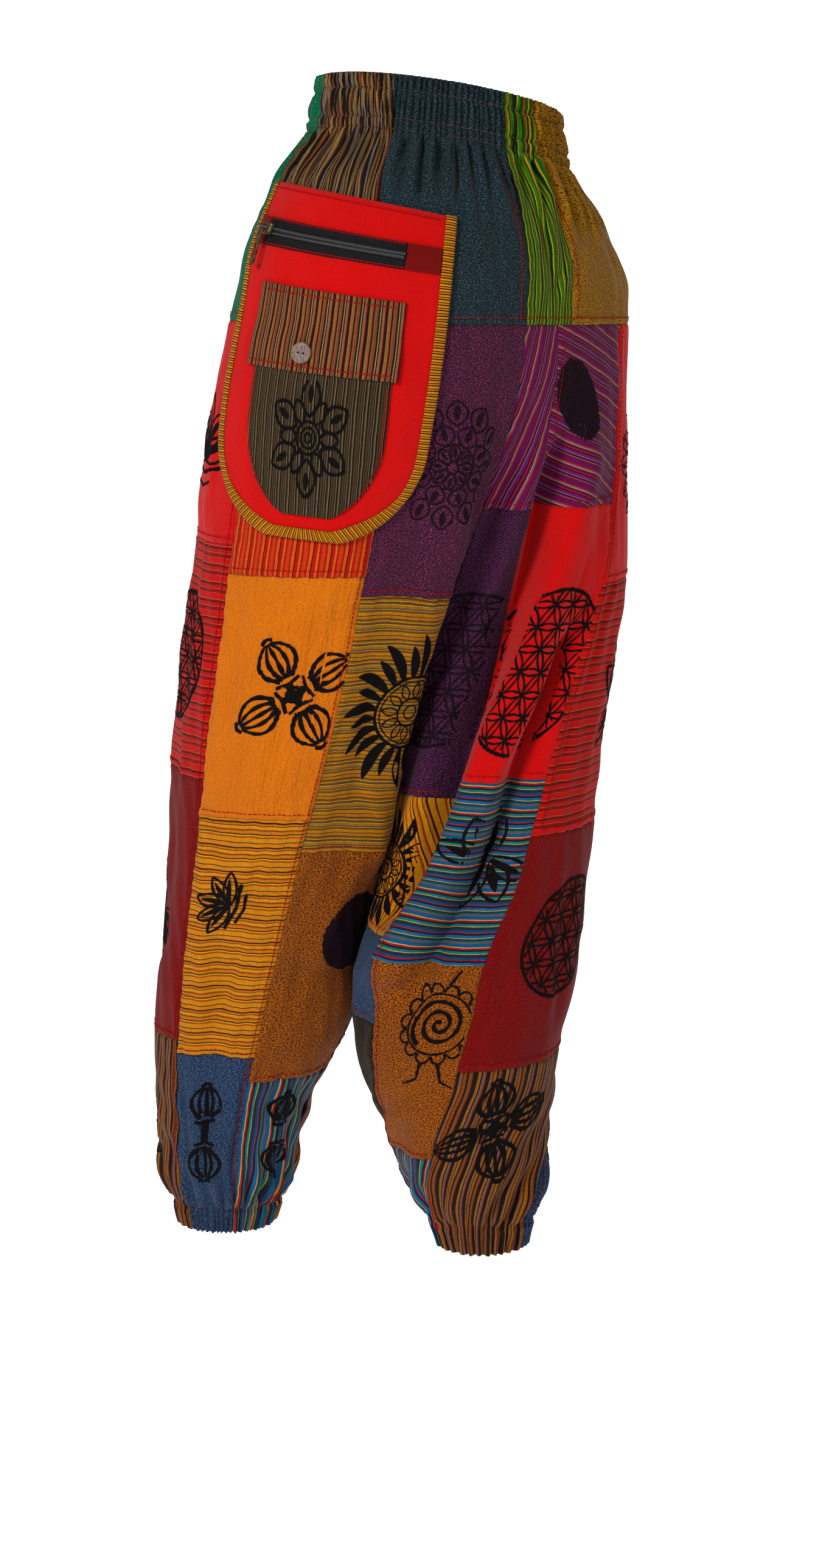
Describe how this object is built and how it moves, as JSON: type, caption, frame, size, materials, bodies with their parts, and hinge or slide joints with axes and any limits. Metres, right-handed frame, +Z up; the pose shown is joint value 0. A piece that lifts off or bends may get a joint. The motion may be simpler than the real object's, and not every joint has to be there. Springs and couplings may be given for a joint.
{
  "type": "harem pants",
  "caption": "Patchwork harem pants in a worn, hollow form: gathered elastic waist and cuffs, low crotch, zipped patch pocket with a flap.",
  "frame": {"origin": "middle of the waist opening, 12 mm below its upper edge, where the wearer's waist holds the garment", "axes": "+X to the wearer's left, -Y to the front, +Z up"},
  "size_m": [0.3746, 0.3586, 0.9798],
  "materials": {
    "binding": "matt woven cotton",
    "black_tape": "black woven polyester tape and coil",
    "blue": "matt woven cotton",
    "brass": "antique bronze, worn",
    "brown": "matt woven cotton",
    "crimson": "matt woven cotton",
    "dark_red": "matt woven cotton",
    "denim": "matt woven cotton",
    "gold": "matt woven cotton",
    "green": "matt woven cotton",
    "lime": "matt woven cotton",
    "ochre": "matt woven cotton",
    "olive": "matt woven cotton",
    "orange": "matt woven cotton",
    "plum": "matt woven cotton",
    "purple": "matt woven cotton",
    "red": "matt woven cotton",
    "redstripe": "matt woven cotton",
    "rust": "matt woven cotton",
    "shell": "satin coconut shell",
    "teal": "matt woven cotton",
    "weave": "matt woven cotton"
  },
  "bodies": {
    "garment": {"flap_button": "shell", "left_inner_back_a_purple": "purple", "left_inner_back_b_ochre": "ochre", "left_inner_back_c_rust": "rust", "left_inner_back_d_blue": "blue", "left_inner_front_a_denim": "denim", "left_inner_front_b_rust": "rust", "left_inner_front_c_purple": "purple", "left_inner_front_d_brown": "brown", "left_outer_back_a_orange": "orange", "left_outer_back_b_gold": "gold", "left_outer_back_c_ochre": "ochre", "left_outer_back_d_denim": "denim", "left_outer_front_a_red": "red", "left_outer_front_b_redstripe": "redstripe", "left_outer_front_c_crimson": "crimson", "left_outer_front_d_brown": "brown", "lower_pocket": "olive", "pocket_base": "red", "pocket_binding": "binding", "pocket_flap": "brown", "right_front_a_brown": "brown", "right_front_b_gold": "gold", "right_front_c_blue": "blue", "right_front_d_denim": "denim", "right_inner_back_a_plum": "plum", "right_inner_back_b_purple": "purple", "right_inner_back_c_ochre": "ochre", "right_inner_back_d_denim": "denim", "right_inner_back_e_weave": "weave", "right_inner_front_a_green": "green", "right_inner_front_b_weave": "weave", "right_inner_front_c_rust": "rust", "right_outer_back_a_plum": "plum", "right_outer_back_b_red": "red", "right_outer_back_c_blue": "blue", "right_outer_back_d_rust": "rust", "right_outer_back_e_blue": "blue", "right_outer_side_a_red": "red", "right_outer_side_b_redstripe": "redstripe", "right_outer_side_c_crimson": "crimson", "right_outer_side_d_brown": "brown", "yoke_back_left_brown": "brown", "yoke_back_left_teal": "teal", "yoke_back_right_green": "lime", "yoke_back_right_olive": "olive", "yoke_front_left_teal": "teal", "yoke_front_right_brown": "brown", "yoke_side_left_green": "green", "yoke_side_right_purple": "plum", "zip_coil": "black_tape", "zip_end_strip_back": "dark_red", "zip_end_strip_front": "dark_red", "zip_slider": "brass", "zip_tape": "black_tape"},
    "pull_tab": {"pull_tab": "brass"}
  },
  "joints": [
    {"name": "pull_tab_swing", "type": "hinge", "parent": "garment", "child": "pull_tab", "pos_m": [0.17418, -0.00656, -0.08714], "axis": [0.9162, -0.0046, 0.4007], "range_deg": [-75, 38]}
  ]
}
